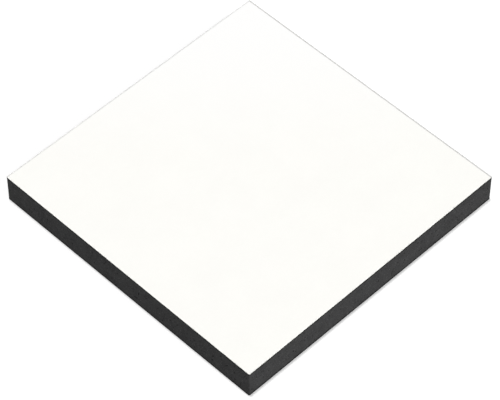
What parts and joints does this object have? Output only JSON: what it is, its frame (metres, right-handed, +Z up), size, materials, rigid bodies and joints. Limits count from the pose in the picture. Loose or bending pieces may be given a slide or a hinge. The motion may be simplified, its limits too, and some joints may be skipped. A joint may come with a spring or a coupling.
{
  "type": "drywall sheet",
  "caption": "Square piece of drywall sheet, cut square on all four sides: a charcoal gypsum core bonded between a white face paper and a grey back paper.",
  "frame": {"origin": "centre of the underside, on the surface that the sheet lies on", "axes": "+Z up through the thickness, out of the white face; +X and +Y along the two pairs of cut sides"},
  "size_m": [0.127, 0.127, 0.0127],
  "materials": {
    "face_paper": "matte",
    "gypsum_core": "matte",
    "back_paper": "matte"
  },
  "bodies": {
    "root": {"face_paper": "face_paper", "gypsum_core": "gypsum_core", "back_paper": "back_paper"}
  },
  "joints": []
}
